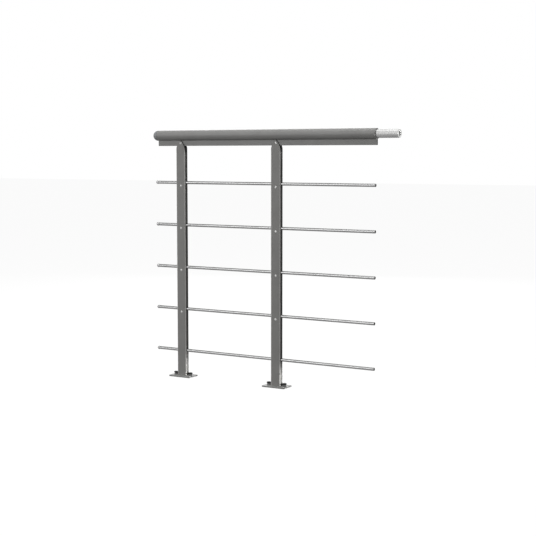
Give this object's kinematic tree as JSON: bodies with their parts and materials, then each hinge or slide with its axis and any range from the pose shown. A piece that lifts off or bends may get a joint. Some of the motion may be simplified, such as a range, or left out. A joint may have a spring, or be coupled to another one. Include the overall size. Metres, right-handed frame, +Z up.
{
  "type": "landing balustrade module",
  "caption": "Freestanding run of landing balustrade: round handrail with a web, flat posts on bolted base plates and bright horizontal infill rods, ready to join on at one end.",
  "frame": {"origin": "centre of the left base plate's underside, on the floor", "axes": "+X along the handrail towards the joining end, -Y the front face with the screw heads, +Z up"},
  "size_m": [1.0935, 0.062, 1],
  "materials": {
    "painted_profile": "satin grey powder coat",
    "painted_post": "satin grey powder coat",
    "painted_plate": "satin grey powder coat",
    "painted_end_cap": "moulded grey plastic",
    "connector_aluminium": "mill finish",
    "black_plastic": "moulded black plastic",
    "bolt_cap_plastic": "moulded black plastic",
    "rod_steel": "fine ground stainless steel",
    "rod_cap_steel": "polished stainless steel",
    "screw_steel": "polished stainless steel",
    "bolt_steel": "zinc-plated steel",
    "washer_steel": "zinc-plated steel"
  },
  "bodies": {
    "root": {"handrail": "painted_profile", "handrail_end_cap": "painted_end_cap", "connector_sleeve": "connector_aluminium", "connector_bush": "black_plastic", "left_post": "painted_post", "right_post": "painted_post", "left_post_top_insert": "black_plastic", "right_post_top_insert": "black_plastic", "left_base_plate": "painted_plate", "right_base_plate": "painted_plate", "rod_1": "rod_steel", "rod_2": "rod_steel", "rod_3": "rod_steel", "rod_4": "rod_steel", "rod_5": "rod_steel", "rod_1_end_cap": "rod_cap_steel", "rod_2_end_cap": "rod_cap_steel", "rod_3_end_cap": "rod_cap_steel", "rod_4_end_cap": "rod_cap_steel", "rod_5_end_cap": "rod_cap_steel", "left_clamp_screw": "screw_steel", "right_clamp_screw": "screw_steel", "left_clamp_nut": "screw_steel", "right_clamp_nut": "screw_steel", "left_rod_screw_1": "screw_steel", "left_rod_screw_2": "screw_steel", "left_rod_screw_3": "screw_steel", "left_rod_screw_4": "screw_steel", "right_rod_screw_1": "screw_steel", "right_rod_screw_2": "screw_steel", "right_rod_screw_3": "screw_steel", "right_rod_screw_4": "screw_steel", "left_post_outer_bolt": "bolt_steel", "left_post_inner_bolt": "bolt_steel", "right_post_inner_bolt": "bolt_steel", "right_post_outer_bolt": "bolt_steel", "left_post_outer_washer": "washer_steel", "left_post_inner_washer": "washer_steel", "right_post_inner_washer": "washer_steel", "right_post_outer_washer": "washer_steel", "left_post_outer_bolt_cap": "bolt_cap_plastic", "left_post_inner_bolt_cap": "bolt_cap_plastic", "right_post_inner_bolt_cap": "bolt_cap_plastic", "right_post_outer_bolt_cap": "bolt_cap_plastic"}
  },
  "joints": []
}
